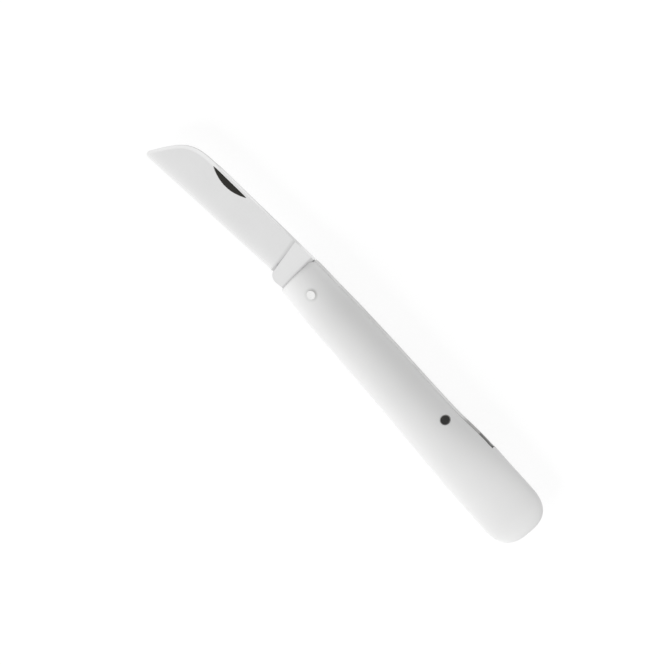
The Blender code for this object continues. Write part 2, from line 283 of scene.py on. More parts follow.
def newGroup(name, inputs, outputs):
    # Inputs are numbers or vectors with their usual values, and outputs are all masks.
    group = bpy.data.node_groups.new(name, "ShaderNodeTree")
    for label, value in inputs.items():
        kind = "NodeSocketFloat" if isinstance(value, float) else "NodeSocketVector"
        group.interface.new_socket(name=label, in_out="INPUT", socket_type=kind).default_value = value
    for label in outputs:
        group.interface.new_socket(name=label, in_out="OUTPUT", socket_type="NodeSocketFloat")
    return group, group.nodes.new("NodeGroupInput").outputs, group.nodes.new("NodeGroupOutput").inputs


def makeGrindingLines():
    # Noise drawn out along one direction, and stray scratches from the borders of stretched cells.
    group, given, made = newGroup("grindingLines", {
        "Vector": (0, 0, 0), "Fine Scale": 1800.0, "Stretch": (1.0, 0.02, 1.0), "Stray": 0.3,
    }, ("Lines", "Scratches"))
    drawn = addNode(group, "VectorMath", {0: given["Vector"], 1: given["Stretch"]},
                    operation="MULTIPLY")
    fine = addNoise(group, drawn.outputs[0], given["Fine Scale"], Detail=4.0, Roughness=0.65)
    turned = addNode(group, "Mapping", {"Vector": given["Vector"]},
                     Rotation=(0, 0, 0.9), Scale=(1.0, 14.0, 1.0))
    stray = addNode(group, "TexVoronoi", {"Vector": turned.outputs[0]},
                    feature="DISTANCE_TO_EDGE", Scale=70.0)
    cut = mapRange(group, stray.outputs[0], 0.0, 0.02, 1.0, 0.0)
    group.links.new(fine, made["Lines"])
    group.links.new(mathNode(group, "MULTIPLY", cut, given["Stray"]), made["Scratches"])
    return group


def makeHandlingMarks():
    # Marks of use: soft smudges, specks of dust and a fine grain, each as a mask.
    group, given, made = newGroup(
        "handlingMarks", {"Vector": (0, 0, 0), "Smudge Scale": 90.0, "Grain Scale": 3000.0},
        ("Smudge", "Dust", "Grain"))
    smudge = addNoise(group, given["Vector"], given["Smudge Scale"],
                      Detail=5.0, Roughness=0.6, Distortion=0.4)
    dust = addNode(group, "TexVoronoi", {"Vector": given["Vector"]}, Scale=420.0)
    grain = addNoise(group, given["Vector"], given["Grain Scale"], Detail=3.0, Roughness=0.7)
    group.links.new(mapRange(group, smudge, 0.38, 0.68), made["Smudge"])
    group.links.new(mapRange(group, dust.outputs[0], 0.03, 0.07, 1.0, 0.0), made["Dust"])
    group.links.new(grain, made["Grain"])
    return group


grindingLines, handlingMarks = makeGrindingLines(), makeHandlingMarks()


def useGroup(tree, group, place, values):
    # Gives a group's masks by name. The values are smudge and grain scale, or line scale, stretch
    # and strength of the strays.
    node = addNode(tree, "Group", {"Vector": place}, node_tree=group)
    for socket, value in zip(list(node.inputs)[1:], values):
        socket.default_value = value
    return dict(node.outputs.items())


def startMaterial(name, look, turn=0.0):
    # A new material with its masks: handling marks, and on ground metal its turned lines.
    material = bpy.data.materials.new(name)
    material.use_nodes = True
    tree = material.node_tree
    place = addNode(tree, "TexCoord").outputs["Object"]
    masks = useGroup(tree, handlingMarks, place, look.marks)
    if "lines" in look:
        lined = addNode(tree, "Mapping", {"Vector": place}, Rotation=(0, 0, turn))
        masks.update(useGroup(tree, grindingLines, lined.outputs[0], look.lines))
    return material, tree, place, masks


def finishMaterial(material, masks, look, base=None):
    # Mixes two colours by a mask, or takes the base given, and tints it by one mask after another.
    # Weighted masks add up to roughness and bump, and the shader gets what is the same all over.
    tree = material.node_tree
    base = base or mixColour(tree, masks[look.mixedBy], *look.colours)
    shader = tree.nodes["Principled BSDF"]
    for name, strength, colour in look.tints:
        base = mixColour(tree, mathNode(tree, "MULTIPLY", masks[name], strength), base, colour)
    bump = addNode(tree, "Bump", {"Height": weighted(tree, masks, 0.0, look.bumpWeights)},
                   Strength=look.bump, Distance=look.bumpDepth)
    rough = weighted(tree, masks, look.roughness, look.roughWeights)
    for label, source in (("Base Color", base), ("Roughness", rough), ("Normal", bump.outputs[0])):
        tree.links.new(source, shader.inputs[label])
    for label, value in look.get("shader", {"Metallic": 1.0}).items():
        shader.inputs[label].default_value = value
    return material


handleLook = Values(
    # outline and section
    frontReach=7.65, length=104.3, thickness=10.4, buttHeight=20.8, sectionPower=2.05,
    frontLean=4.0, leanLength=12.0, frontRound=0.4,
    cornerDepth=2.0, cornerWidth=3.0, bellyCorner=0.25,
    buttRound=9.6, buttPower=2.8, edgeRound=3.2,
    # place along the length, back and belly as shares of the butt's height, share of thickness
    stations=np.array([
        (0.00, 0.338, 0.371, 0.858), (0.045, 0.353, 0.380, 0.884), (0.075, 0.358, 0.386, 0.905),
        (0.204, 0.387, 0.395, 1.000), (0.363, 0.410, 0.404, 1.000), (0.503, 0.422, 0.420, 1.000),
        (0.602, 0.438, 0.440, 0.952), (0.672, 0.476, 0.453, 0.846), (0.731, 0.498, 0.4665, 0.750),
        (0.791, 0.500, 0.4685, 0.615), (0.910, 0.507, 0.4675, 0.395), (1.00, 0.482, 0.456, 0.300),
    ]),
    evenedShare=0.022, evenedSteps=14,
    # slots, web and holes
    slotHalf=1.2, lipRound=0.15, lipFade=1.5, lipShare=0.5,
    pocketEnd=70.1, bladeSlotEnd=67.9, webReach=46.0, webFloor=3.0, webCeiling=0.9,
    pinHole=1.56, pivotHole=1.16,
    # rows and columns of the grids
    rowStep=0.42, roundRows=6, cornerRows=13, buttRows=55,
    skinColumns=104, acrossColumns=10, wallColumns=8, lipColumns=4,
    # painted shade in the slots and at the front end, a painted shadow round the rivet's head, and
    # painted light near both ends
    dirt=0.85, dirtLeast=0.45, dirtRise=(63.0, 65.5), dirtPast=0.12, dirtFade=0.1,
    dirtDepth=0.6, dirtEnd=0.05, frontGrime=0.16, frontFade=(0.1, 0.7),
    rivetGrime=((1.5, 2.3, 1.0, 0.0), (0.9, 1.3)), rivetSide=(-1.2, 1.6, 0.35, 1.0),
    cleanFront=(-8.0, 12.0), cleanButt=((58.0, 86.0), (88.0, 96.0)),
    # finish
    marks=(70.0, 2600.0),
    mottleScale=28.0, mottleRange=(0.35, 0.65),
    mixedBy="Mottled", colours=((0.812, 0.812, 0.809), (0.837, 0.837, 0.834)),
    # the palest tint is painted light near the ends, the darkest is painted shade in the slots and at
    # the front end, and the last is a painted shadow round the rivet
    tints=(
        ("LitEnds", 1.0, (0.90, 0.90, 0.897)), ("Smudge", 0.10, (0.74, 0.74, 0.735)),
        ("Dust", 0.10, (0.45, 0.44, 0.42)), ("SlotAndFrontShade", 1.0, (0.16, 0.155, 0.15)),
        ("PaintedShade", 0.9, (0.60, 0.60, 0.59)),
    ),
    roughness=0.53, roughWeights={"Smudge": -0.07, "Grain": 0.10, "Mottle": 0.06},
    bump=0.12, bumpDepth=0.00004, bumpWeights={"Grain": 0.6, "Smudge": 0.25},
    shader={"Specular IOR Level": 0.3},
)
handleEnd = handleLook.length - handleLook.frontReach
frontTan = math.tan(math.radians(handleLook.frontLean))


def handleShare(x, column):
    # The stations' cubic, averaged over a short stretch on either side. Past both ends it goes on
    # as itself turned half round the end.
    look = handleLook
    stations, values = look.stations[:, 0], look.stations[:, column]
    offsets = np.linspace(-1, 1, look.evenedSteps + 1)
    weights = (1 - offsets ** 2) ** 2
    share = (np.asarray(x, float) + look.frontReach) / look.length
    spots = share[..., None] + offsets * look.evenedShare
    ends = np.clip(spots, 0, 1)
    heights = 2 * smoothLine(stations, values, ends) - smoothLine(stations, values, 2 * ends - spots)
    return heights @ (weights / weights.sum())


def backLine(x):
    return handleLook.buttHeight * handleShare(x, 1)


def bellyLine(x):
    return -handleLook.buttHeight * handleShare(x, 2)


def endRound(x, length, power):
    # Falls from 1 to 0 over the last stretch before the butt's end, as a superellipse does.
    u = np.clip((x - handleEnd + length) / length, 0, 1)
    return np.maximum(0, 1 - u ** power) ** (1 / power)


def cornerDraw(x):
    # How far the back draws in at the front end's rounded corner: a quarter of an ellipse.
    share = np.clip((x + handleLook.frontReach) / handleLook.cornerDepth, 0, 1)
    return handleLook.cornerWidth * quarterFall(1 - share)


def behindFront(x, y):
    # How far a point lies behind the leaning front end.
    return x + handleLook.frontReach + frontTan * y


def leanFront(grid):
    # The front end leans: towards the back it reaches further forward than at the belly.
    fade = np.clip(1 - (grid[..., 0] + handleLook.frontReach) / handleLook.leanLength, 0, 1)
    leaned = grid.copy()
    leaned[..., 0] -= frontTan * fade * grid[..., 1]
    return leaned


def handleSection(x, inset=0.0):
    # Middle, half height and half depth of the section at each place, both less the inset.
    look, draw = handleLook, cornerDraw(x)
    top, bottom = backLine(x) - draw, bellyLine(x) + look.bellyCorner * draw
    height = (top - bottom) / 2 * endRound(x, look.buttRound, look.buttPower)
    depth = look.thickness / 2 * handleShare(x, 3) * endRound(x, look.edgeRound, 2)
    return (top + bottom) / 2, np.maximum(height - inset, 0), np.maximum(depth - inset, 0)


def handleTop(x, y):
    # Height of the upper skin over a point: the superellipse of how far out it lies.
    middle, height, depth = handleSection(x)
    power = handleLook.sectionPower
    out = np.clip(np.abs(y - middle) / height, 0, 1)
    return depth * (1 - out ** power) ** (1 / power)


def handleRows():
    # Places of the rings, closest round the front edge, at the web's nose and at the butt, with one
    # exactly at each end of the slots.
    look = handleLook
    turns = quarterTurns(look.roundRows)
    edge = look.frontRound * (1 - np.sin(turns[::-1]))
    cornerStart = np.arccos(1 - look.frontRound / look.cornerDepth)
    cornerTurns = np.linspace(cornerStart, np.pi / 2, look.cornerRows + 1)[1:]
    corner = look.cornerDepth * (1 - np.cos(cornerTurns))
    front = np.r_[edge, corner] - look.frontReach
    nose = look.webReach + (look.webFloor - look.webCeiling) / 2 * (1 - np.cos(turns))
    roundStart = handleEnd - look.buttRound
    stops = [front[-1], nose[0], nose[-1], look.bladeSlotEnd, look.pocketEnd, roundStart]
    runs = [front]
    for start, end in zip(stops, stops[1:]):
        if start == nose[0]:
            runs.append(nose)
        else:
            count = max(2, int(round((end - start) / look.rowStep)))
            runs.append(np.linspace(start, end, count + 1))
    butt = roundStart + look.buttRound * np.sin(quarterTurns(look.buttRows))
    rows = np.concatenate(runs + [butt])
    return rows[np.r_[True, np.diff(rows) > hair]]


def makeHandle():
    # Superellipse rings along the length, from the back's lip over the top to the belly's. Where a
    # slot is open the lip turns in through a quarter circle to the slot's wall. Walls, web, slot
    # ends and the strips across the butt share its border points. The lower half is mirrored.
    look = handleLook
    x = handleRows()
    short = np.maximum(0, look.frontRound - (x + look.frontReach)) / look.frontRound
    inset = look.frontRound * quarterFall(np.minimum(short, 1))
    middle, height, depth = handleSection(x, inset)
    power = look.sectionPower
    acrossShare = np.linspace(1, -1, look.acrossColumns + 1)
    wallShare = evenShares(look.wallColumns)

    def ringPoint(angle):
        # Cosine and sine of the angle, both raised to 2 over the section's power.
        bend = 2 / power
        y = middle[:, None] + height[:, None] * np.sign(np.cos(angle)) * np.abs(np.cos(angle)) ** bend
        z = depth[:, None] * np.sign(np.sin(angle)) * np.abs(np.sin(angle)) ** bend
        return gridFrom(x[:, None], y, z)

    def angleAt(rise):
        return np.arcsin(np.clip(rise / np.maximum(depth, tiny)[:, None], 0, 1) ** (power / 2))

    def lipGrid(slotEnd, side):
        # A slot's lip, and the strip across where it is shut. Side is 1 at the back, -1 below.
        radius = (look.lipRound * ramp(slotEnd - x, 0.0, look.lipFade))[:, None]
        rise = np.minimum(look.slotHalf + radius, depth[:, None] * look.lipShare)
        angle, turn = angleAt(rise), quarterTurns(look.lipColumns)
        edge = ringPoint(angle if side > 0 else np.pi - angle)[:, 0]
        lip = gridFrom(x[:, None], edge[:, 1, None] - side * radius * (1 - np.cos(turn)),
                       edge[:, 2, None] - radius * np.sin(turn))
        low = angleAt(np.abs(acrossShare) * rise) * np.sign(acrossShare)
        return angle, lip, ringPoint(low if side > 0 else np.pi - low)

    backAngle, backLip, backAcross = lipGrid(look.pocketEnd, 1)
    bellyAngle, bellyLip, bellyAcross = lipGrid(look.bladeSlotEnd, -1)
    share = evenShares(look.skinColumns)
    skin = ringPoint(backAngle + (np.pi - bellyAngle - backAngle) * share)

    openBack, openBelly = x <= look.pocketEnd + hair, x <= look.bladeSlotEnd + hair
    inWeb = x >= look.webReach - hair
    radius = (look.webFloor - look.webCeiling) / 2
    fromNose = np.clip(look.webReach + radius - x, 0, radius)
    spread = np.where(inWeb, np.sqrt(np.maximum(0, radius ** 2 - fromNose ** 2)), 0)
    centre = (look.webFloor + look.webCeiling) / 2
    floor, ceiling = centre + spread, centre - spread

    def wallGrid(start, end, chosen):
        y = (start[:, None] + (end - start)[:, None] * wallShare)[chosen]
        return gridFrom(x[chosen][:, None], y, look.slotHalf)

    def bridgeGrid(y, chosen):
        return gridFrom(x[chosen][:, None], y[chosen][:, None], look.slotHalf * acrossShare)

    def endWall(place, y, across):
        row = int(np.argmin(np.abs(x - place)))
        rise = y[row] + (across[row][None, :, 1] - y[row]) * wallShare[:, None]
        return gridFrom(x[row], rise, look.slotHalf * acrossShare)

    upper = [
        skin, backLip[openBack], bellyLip[openBelly],
        wallGrid(floor, backLip[:, -1, 1], openBack),
        wallGrid(ceiling, bellyLip[:, -1, 1], openBelly),
    ]
    between = [
        backAcross[x >= look.pocketEnd - hair], bellyAcross[x >= look.bladeSlotEnd - hair],
        bridgeGrid(floor, openBack & inWeb), bridgeGrid(ceiling, openBelly & inWeb),
        endWall(look.pocketEnd, floor, backAcross), endWall(look.bladeSlotEnd, ceiling, bellyAcross),
    ]
    grids = upper + [mirrored(grid) for grid in upper] + between
    handle = weldGrids("handleMoulding", [leanFront(grid) for grid in grids])
    boreHoles(handle, [(0, 0, look.pivotHole), (pinPlace[0], pinPlace[1], look.pinHole)])
    # painted shade in the slots
    markPoints(handle, "slotShade", slotShade)
    # painted shade on the front end, where the blade enters
    markPoints(handle, "frontGrime",
               lambda x, y, z: look.frontGrime * (1 - ramp(behindFront(x, y), *look.frontFade)))
    # painted light: paler towards the front end and towards the butt
    markPoints(handle, "paintedLightEnds", lambda x, y, z: (1 - ramp(x, *look.cleanFront))
               + sum(ramp(x, *stretch) for stretch in look.cleanButt) / 2)
    return handle


def slotShade(x, y, z):
    # Painted shade: full between the slot's walls and below the skin, fainter ahead of the spring's
    # tail.
    look = handleLook
    between = ramp(look.slotHalf + look.dirtPast - np.abs(z), 0, look.dirtFade)
    below = ramp(handleTop(x, y) - look.slotHalf, 0, look.dirtDepth)
    strength = towards(look.dirtLeast, 1, ramp(x, *look.dirtRise)) * look.dirt
    return between * below * (x < look.pocketEnd + look.dirtEnd) * strength


def whiteNylon():
    # Faintly mottled white with a soft sheen, with painted shade in the slots and at the front end, a
    # painted shadow round the rivet and painted light near both ends.
    look = handleLook
    material, tree, place, masks = startMaterial("whiteNylon", look)
    masks["Mottle"] = addNoise(tree, place, look.mottleScale, Detail=3.0)
    masks["LitEnds"] = readMark(tree, "paintedLightEnds")
    # painted shade in the slots and at the front end
    dirt, frontShadeMark = readMark(tree, "slotShade"), readMark(tree, "frontGrime")
    masks["SlotAndFrontShade"] = mathNode(tree, "MAXIMUM", dirt, frontShadeMark)
    # painted shadow of the rivet's head: a grey ring round it, stronger towards the back
    centred, away = fromAxis(tree, place, pivotPlace)
    outer, inner = (mapRange(tree, away, *limits) for limits in look.rivetGrime)
    side = addNode(tree, "SeparateXYZ", {0: centred}).outputs[1]
    ring = mathNode(tree, "MULTIPLY", outer, inner)
    masks["PaintedShade"] = mathNode(tree, "MULTIPLY", ring, mapRange(tree, side, *look.rivetSide))
    masks["Mottled"] = mapRange(tree, masks["Mottle"], *look.mottleRange)
    return finishMaterial(material, masks, look)


dress(makeHandle(), whiteNylon(), "handle_body", "handle")
print("handle moulded")


bladeLook = Values(
    # outline
    thickness=2.2, reach=65.898, spineRise=7.4, spineSlope=4.7, edgeDrop=4.212,
    edgeSlope=6.63, dropLength=19.4, pointSlope=63.8, dropShares=(0.545, 0.67),
    tipRadius=1.2, ricasso=13.5, choilStep=0.5, choilRise=0.45,
    # tang
    kickReach=9.7, tangFlat=4.9, tangRound=5.15, tangMeet=1.2, closedAngle=168.0,
    tangHole=1.15, shoulderPlace=-7.35,
    # grind, plunge line, edges and nail nick
    grindShoulder=1.0, heelThickness=0.36, grindLean=11.0, plungeWidth=0.9,
    plungeShift=0.755, edgeWidth=0.1, bevelWidth=0.9, chamferWidth=0.9,
    chamferShare=0.45, edgeRound=0.12, roundLeast=0.3,
    nickLength=13.8, nickWidth=2.7, nickDepth=0.7, nickPlace=41.5, nickBelow=0.86,
    # where rows lean with the plunge line, where the drop, the ricasso and the shoulder begin
    leanIn=(-26.0, -17.6), leanOut=(-12.2, -9.8), dropFade=(-2.5, 1.5), dropReach=4.0,
    heelFade=(-14.6, -13.0), roundFade=(-8.2, -7.4), bendStart=-10.5,
    # a row's lines: least gap to the line before, and most share of the row's width
    leastGaps={"bevel": 0.01, "corner": 0.002, "wall": 0.03, "top": 0.03, "nick": 0.1},
    mostShares={"bevel": 0.34, "corner": 0.08, "wall": 0.2, "top": 0.42, "nick": 0.55},
    shoulderLeast=0.16, wallStrip=0.02, nickFoot=3.4,
    # rows and columns
    tipRun=1.5, tipRows=25, rowRuns=((-48.9, 70), (-34.1, 124), (-18.2, 40), (-11.8, 92)),
    shoulderRows=28, bandColumns=(6, 34, 26, 3, 1, 5, 4), tangRows=(24, 34),
    dropPoints=600, tipPoints=200, kickPoints=60, crease=5.0,
    # greys of the ground face and ricasso, a painted reflection near the edge, painted shade in the
    # plunge line, its speck of dirt, painted shade at the mouth, a painted highlight on the chamfer
    # and painted light and shade on the spine
    faceTone=0.738, ricassoTone=0.765, grindFade=(-0.3, 0.1), edgeTone=0.93,
    edgeFade=1.5, plungeTone=0.655, plungeSoft=0.3, plungeLeast=0.75,
    plungeMore=0.25, plungeFade=0.7, plungeEase=0.6, coreTone=0.60, coreSoft=0.1,
    coreShares=(0.3, 0.9), speck=0.35, speckPlace=(-0.3, -2.9), speckSize=(0.2, 0.5),
    mouthGrime=0.25, mouthReach=0.75, dropTones=(-2.0, 2.0), chamferTone=0.84,
    chamferFade=(0.55, 1.25), rimTone=0.66, rimWidth=0.03, spineFade=(-0.4, 0.4),
    spinePlaces=(-50.0, -34.0, -27.0, -20.0, -18.0, -16.0, -14.4, -13.0, -11.0, -8.0),
    spineTones=(0.86, 0.86, 0.82, 0.76, 0.69, 0.665, 0.665, 0.75, 0.84, 0.84),
    spineFoot=(0.77, 0.76, 0.66, 0.64, 0.66, 0.665, 0.665, 0.75, 0.84, 0.84),
    polishFade=(-0.12, 0.04), nickShade=(0.012, 0.006),
    # finish
    marks=(60.0, 3000.0),
    lines=(2600.0, (1.0, 0.03, 1.0), 0.2),
    grain=0.98, grainWeights={"Lines": 0.05, "Smudge": -0.02},
    # the nick's tint is painted shade
    tints=(("Scratches", 1.0, (0.80, 0.80, 0.80)), ("Nick", 1.0, (0.043, 0.042, 0.038))),
    roughness=0.26, roughWeights={"Lines": 0.14, "Smudge": 0.06, "Polished": -0.12, "Nick": 0.2},
    bump=0.10, bumpDepth=0.00003,
    bumpWeights={"Lines": 0.8, "Scratches": -0.5, "Grain": 0.15},
)
bladeHalf = bladeLook.thickness / 2
grindDepth = bladeHalf - bladeLook.heelThickness / 2
heelX = -bladeLook.ricasso
spineTan, edgeTan, leanTan = (
    math.tan(math.radians(bladeLook[name])) for name in ("spineSlope", "edgeSlope", "grindLean"))
spineCos = math.cos(math.radians(bladeLook.spineSlope))
plungeWheel = bladeLook.plungeWidth ** 2 / (2 * grindDepth)


def spineY(x):
    return bladeLook.spineRise + spineTan * x


def edgeY(x):
    return -bladeLook.edgeDrop + edgeTan * x


def arcPoints(centre, radius, start, end, count):
    turns = np.linspace(start, end, count)
    return np.stack([centre[0] + radius * np.cos(turns), centre[1] + radius * np.sin(turns)], 1)


def pointCurve():
    # The spine's drop is one cubic between the straight spine and the slanted point, and an arc
    # rounds the point into the edge.
    look = bladeLook
    slope, lean = math.radians(look.pointSlope), math.radians(look.edgeSlope)
    turn = math.pi - slope + lean
    fillet = look.tipRadius * math.tan(turn / 2)
    fall = np.array([math.cos(slope), math.sin(slope)])
    along = np.array([spineCos, spineTan * spineCos])
    end = np.array([-look.reach, edgeY(-look.reach)]) + fillet * fall
    startX = look.dropLength - look.reach
    start = np.array([startX, spineY(startX)])
    first, second = np.array(look.dropShares) * look.dropLength
    knots = np.array([start, start - first * along, end + second * fall, end])
    t = np.linspace(0, 1, look.dropPoints)[:, None]
    curve = (1 - t) ** 3 * knots[0] + 3 * t * (1 - t) ** 2 * knots[1]
    curve = curve + 3 * t * t * (1 - t) * knots[2] + t ** 3 * knots[3]
    centre = end + look.tipRadius * np.array([fall[1], -fall[0]])
    start = math.pi / 2 + slope
    tip = arcPoints(centre, look.tipRadius, start, start + turn, look.tipPoints)
    return np.concatenate([curve, tip[1:]])


def kickCurve():
    # An arc from the edge's heel that runs smoothly into the closed flat, and the flat's far end.
    look = bladeLook
    normal = math.pi / 2 - math.radians(look.closedAngle)
    out = np.array([math.cos(normal), math.sin(normal)])
    kick = np.array([-look.kickReach, (out[0] * look.kickReach + look.tangFlat) / out[1]])
    heel = np.array([heelX + look.choilStep, edgeY(heelX) + look.choilRise])
    gap = heel - kick
    radius = (gap @ gap) / (2 * -(gap @ out))
    centre = kick - radius * out
    start = math.atan2(heel[1] - centre[1], heel[0] - centre[0])
    flatEnd = normal + math.acos(look.tangFlat / look.tangRound)
    return np.concatenate([
        arcPoints(centre, radius, start, normal, look.kickPoints),
        arcPoints((0, 0), look.tangRound, flatEnd, flatEnd, 1),
    ])


pointLine, kickLine = pointCurve(), kickCurve()
dropStart, tipAt = pointLine[0, 0], int(np.argmin(pointLine[:, 0]))
dropX = pointLine[:tipAt - 2, 0][::-1]
dropSlope = np.gradient(pointLine[:, 1], pointLine[:, 0])[:tipAt - 2][::-1]
underLine = np.concatenate([pointLine[tipAt:], [[heelX, edgeY(heelX)]], kickLine])


def upperLine(x):
    # The drop's curve up to the tip, and the straight spine behind it.
    branch = pointLine[:tipAt + 1][::-1]
    return np.where(x < dropStart, np.interp(x, branch[:, 0], branch[:, 1]), spineY(x))


def lowerLine(x):
    # Tip's underside, edge, the small step at its heel, kick and closed flat.
    return np.interp(x, underLine[:, 0], underLine[:, 1])


def dropStretch(x):
    # How much longer the drop is than its run: the root of 1 plus its slope squared.
    return np.sqrt(1 + np.interp(x, dropX, dropSlope) ** 2)


def groundHalf(x, y):
    # Half thickness left by the flat grind, falling evenly from the shoulder below the spine.
    shoulder = bladeLook.grindShoulder
    width = (spineY(heelX) - edgeY(heelX)) * spineCos
    below = (spineY(x) - y) * spineCos - shoulder
    return np.minimum(bladeHalf, bladeHalf - grindDepth / (width - shoulder) * below)


def pastPlunge(x, y):
    # How far a point lies behind the plunge line, which leans back from the edge's heel.
    return x - heelX - bladeLook.plungeShift + leanTan * (y - edgeY(heelX))


def plungeHalf(x, y, ground):
    # The wheel's rim leaves a hollow: ground height plus the square of the way past its foot, which
    # lies further from the plunge line the deeper the grind is.
    past = pastPlunge(x, y)
    foot = np.sqrt(2 * plungeWheel * np.maximum(bladeHalf - ground, 0))
    rise = np.maximum(past + foot, 0) ** 2 / (2 * plungeWheel)
    return np.where(past >= 0, bladeHalf, np.minimum(bladeHalf, ground + rise))


def nickHeight(x, y):
    # Height of the nick's floor: a cone lying across the blade whose large end is the steep wall.
    look = bladeLook
    dx, dy = x + look.nickPlace, y - spineY(-look.nickPlace) + look.nickBelow
    along = dx * spineCos + dy * spineTan * spineCos
    down = (dx * spineTan - dy) * spineCos
    depth = look.nickDepth
    rim = (look.nickLength ** 2 / 4 + depth ** 2) / (2 * depth)
    size = rim - depth * down / look.nickWidth
    floor = bladeHalf - depth + rim - np.sqrt(np.maximum(size ** 2 - along ** 2, 0))
    return np.where(down < -100 * hair, bladeHalf + 1, floor)


def bladeTone(x, y, z):
    # Grey of the steel, with painted light and shade: lighter towards the edge, partly its polish and
    # partly a painted reflection, a painted highlight on the drop's chamfer, painted shade in the
    # plunge with a speck of dirt there, painted shade at the handle's mouth, and painted light and
    # shade on the spine.
    look = bladeLook
    past = pastPlunge(x, y)
    deep = (bladeHalf - groundHalf(x, y)) / grindDepth
    grind = 1 - ramp(past, *look.grindFade)
    tone = towards(look.ricassoTone, look.faceTone, grind)
    # partly the polished bevel, partly a painted reflection: lighter towards the edge
    nearEdge = np.exp(-np.maximum(y - lowerLine(x), 0) / look.edgeFade)
    tone = tone + (look.edgeTone - look.faceTone) * nearEdge * grind
    # painted shade in the plunge line's hollow, with a darker core
    foot = look.plungeLeast + look.plungeMore * deep ** 2
    side = ramp(-past, 0, look.plungeSoft) * (1 - ramp(-past, foot, foot + look.plungeFade))
    tone = towards(tone, look.plungeTone, side * (1 - look.plungeEase * deep))
    core = ramp(-past, -look.coreSoft, look.coreSoft)
    core = core * (1 - ramp(-past, foot * towards(*look.coreShares, deep), foot))
    tone = towards(tone, look.coreTone, core)
    (speckX, speckY), (speckLength, speckWidth) = look.speckPlace, look.speckSize
    speck = np.exp(-((past - speckX) / speckLength) ** 2 - ((y - speckY) / speckWidth) ** 2)
    # painted shade on the steel where it enters the handle's mouth
    mouth = 1 - ramp(-behindFront(x, y), 0.0, look.mouthReach)
    tone = tone * (1 - look.speck * speck) * (1 - look.mouthGrime * mouth)
    inward = (upperLine(x) - y) / dropStretch(x)
    dropping = 1 - ramp(x - dropStart, *look.dropTones)
    # painted highlight on the drop's chamfer
    tone = towards(tone, look.chamferTone, (1 - ramp(inward, *look.chamferFade)) * dropping)
    # painted light and shade on the spine: lighter by the top face, darker at its foot and by the
    # handle, with a darker painted rim along the drop
    spine, foot = (np.interp(x, look.spinePlaces, look[name]) for name in ("spineTones", "spineFoot"))
    spine = towards(towards(spine, foot, ramp(-z, *look.spineFade)), look.rimTone, dropping)
    return np.where(inward < look.rimWidth, spine, tone)


def bladeRows():
    # Places of the rows, closest at the tip, over the nick and at the plunge line, with one exactly
    # on the heel and one on the step behind it.
    look = bladeLook
    runs = [pointLine[tipAt, 0] + look.tipRun * evenShares(look.tipRows) ** 2]
    for end, count in look.rowRuns + ((look.shoulderPlace, look.shoulderRows),):
        runs.append(np.linspace(runs[-1][-1], end, count + 1)[1:])
    rows = np.concatenate(runs)
    for place in (heelX, heelX + look.choilStep):
        rows[np.argmin(np.abs(rows - place))] = place
    return rows


def tangGrids(shares):
    # The tang behind the shoulder, at shares of the way from the closed flat to the top flat.
    look = bladeLook
    size, meet = look.tangRound, look.tangMeet
    straight, rounded = look.tangRows
    turns = np.linspace(math.asin(meet / size), np.pi / 2, rounded)[1:]
    x = np.r_[np.linspace(look.shoulderPlace, meet, straight), size * np.sin(turns)]
    arc = np.sqrt(np.maximum(size ** 2 - x ** 2, 0))
    upper = np.where(x < 0, look.tangFlat, np.minimum(look.tangFlat, arc))
    lower = np.where(x < kickLine[-1, 0], lowerLine(x), -arc)
    face = gridFrom(x[:, None], lower[:, None] + (upper - lower)[:, None] * shares, bladeHalf)
    back = mirrored(face)
    return [face, back, stripBetween(face[:, 0], back[:, 0]), stripBetween(face[:, -1], back[:, -1])]


